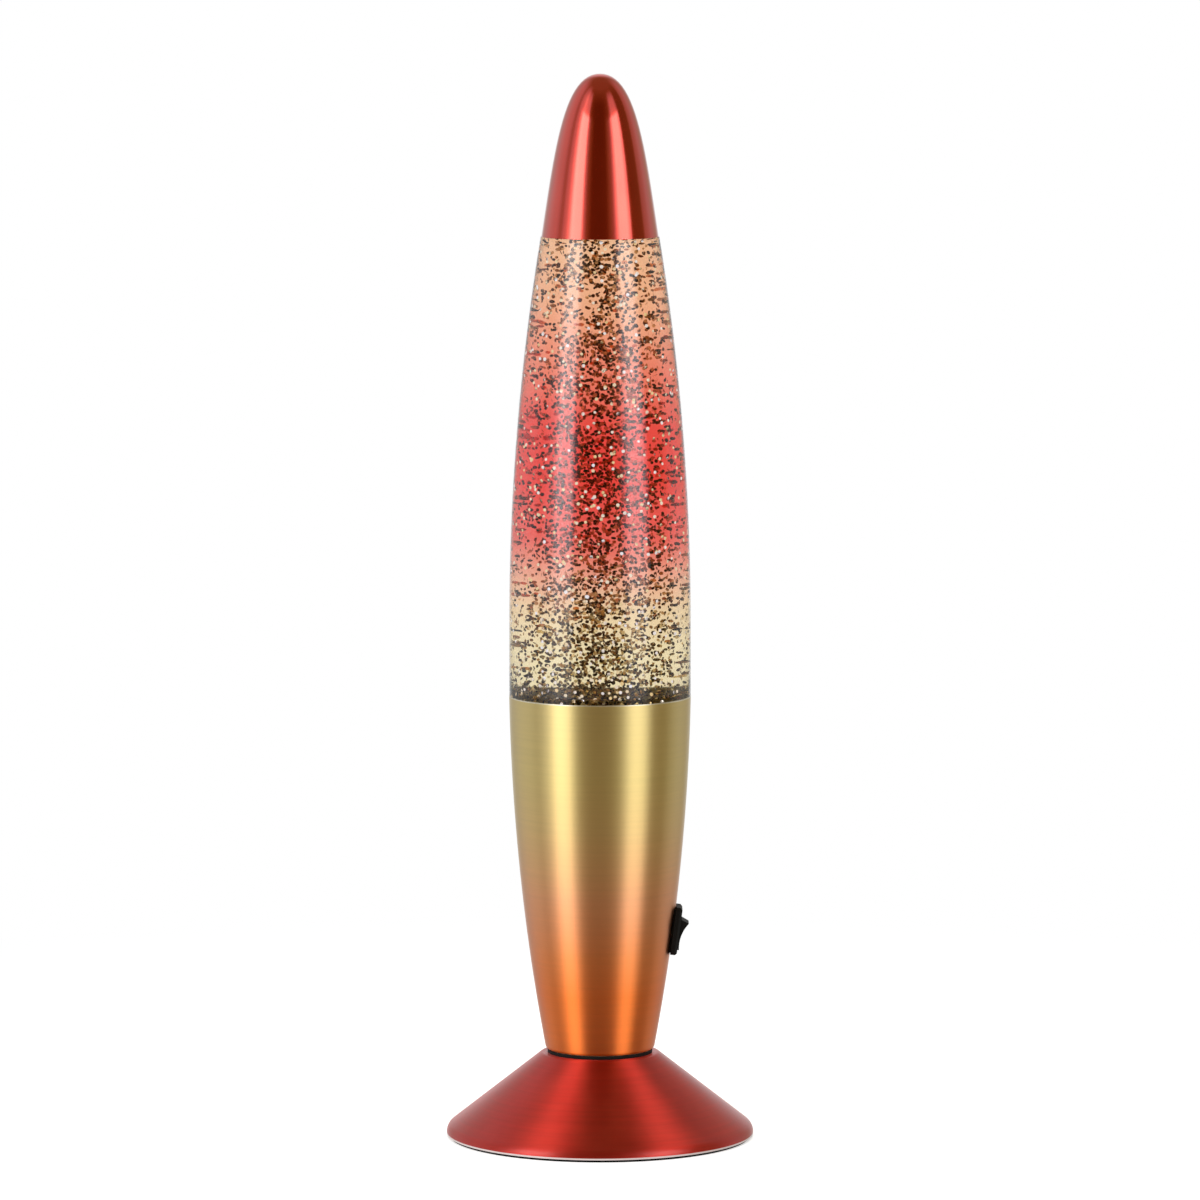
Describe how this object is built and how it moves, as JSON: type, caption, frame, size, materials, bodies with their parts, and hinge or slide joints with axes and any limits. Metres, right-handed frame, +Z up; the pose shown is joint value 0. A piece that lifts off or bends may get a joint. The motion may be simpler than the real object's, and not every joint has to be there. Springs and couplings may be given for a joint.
{
  "type": "glitter lamp",
  "caption": "Rocket-shaped glitter lamp: a glass bottle of glitter liquid in a tapered metal sleeve on a conical foot, with a nose cap, a reflector bulb and a rocker switch.",
  "frame": {"origin": "on the floor under the lamp's vertical axis, at the underside of the foam pad", "axes": "+Z up along the lamp's axis; +X towards the rocker switch; +Y towards the cord outlet at the back"},
  "size_m": [0.0954, 0.0954, 0.33],
  "materials": {
    "red_anodised": "red anodised, satin",
    "gold_anodised": "anodised, gold fading to copper, brushed",
    "foam": "black foam",
    "black_plastic": "moulded black",
    "rubber": "black rubber",
    "zinc_steel": "zinc plated",
    "brass": "bright stamped brass",
    "switch_plastic": "moulded black, semi gloss",
    "white_plastic": "moulded white",
    "lead_sleeve": "white silicone sleeve",
    "bulb_glass": "clear front, silvered flank",
    "bulb_metal": "rolled aluminium",
    "bulb_insulator": "black vitreous insulator",
    "bottle_glass": "clear polished glass",
    "dyed_liquid": "clear dyed water-based liquid, peach to red to pale yellow",
    "glitter_foil": "bright gold foil flakes"
  },
  "bodies": {
    "stand": {"foot": "red_anodised", "foot_pad": "foam", "base_plate": "black_plastic", "cord_grommet": "rubber", "collar_gasket": "rubber", "sleeve": "gold_anodised", "threaded_tube": "zinc_steel", "tube_nuts": "zinc_steel", "tube_washers": "zinc_steel", "lampholder_body": "black_plastic", "lampholder_shell": "brass", "lampholder_contact": "brass", "lampholder_terminals": "brass", "switch_housing": "switch_plastic", "switch_terminals": "brass", "switch_lead": "lead_sleeve"},
    "rocker": {"switch_rocker": "switch_plastic", "rocker_plunger": "white_plastic", "plunger_spring": "zinc_steel"},
    "blade": {"contact_blade": "brass"},
    "bulb": {"bulb_envelope": "bulb_glass", "bulb_cap": "bulb_metal", "bulb_insulator": "bulb_insulator", "bulb_contact": "bulb_metal", "bulb_stem": "bulb_glass", "bulb_filament": "bulb_metal"},
    "bottle": {"bottle": "bottle_glass", "liquid": "dyed_liquid", "glitter": "glitter_foil", "closure": "white_plastic", "closure_liner": "white_plastic"},
    "cap": {"top_cap": "red_anodised"}
  },
  "joints": [
    {"name": "rocker_tilt", "type": "hinge", "parent": "stand", "child": "rocker", "pos_m": [0.01957, 0, 0.06521], "axis": [0, -1, 0], "range_deg": [0, 26]},
    {"name": "blade_tip", "type": "hinge", "parent": "stand", "child": "blade", "pos_m": [0.01615, 0, 0.06566], "axis": [0, -1, 0], "range_deg": [-14, 0]},
    {"name": "bulb_turn", "type": "hinge", "parent": "stand", "child": "bulb", "pos_m": [0, 0, 0.06], "axis": [0, 0, 1], "range_deg": [0, 1080]},
    {"name": "bottle_lift", "type": "slide", "parent": "stand", "child": "bottle", "axis": [0, 0, 1], "range_m": [0, 0.06]},
    {"name": "cap_lift", "type": "slide", "parent": "bottle", "child": "cap", "axis": [0, 0, 1], "range_m": [0, 0.04]}
  ],
  "couplings": [
    {"joint": "blade_tip", "follows": "rocker_tilt", "ratio": -0.538}
  ]
}
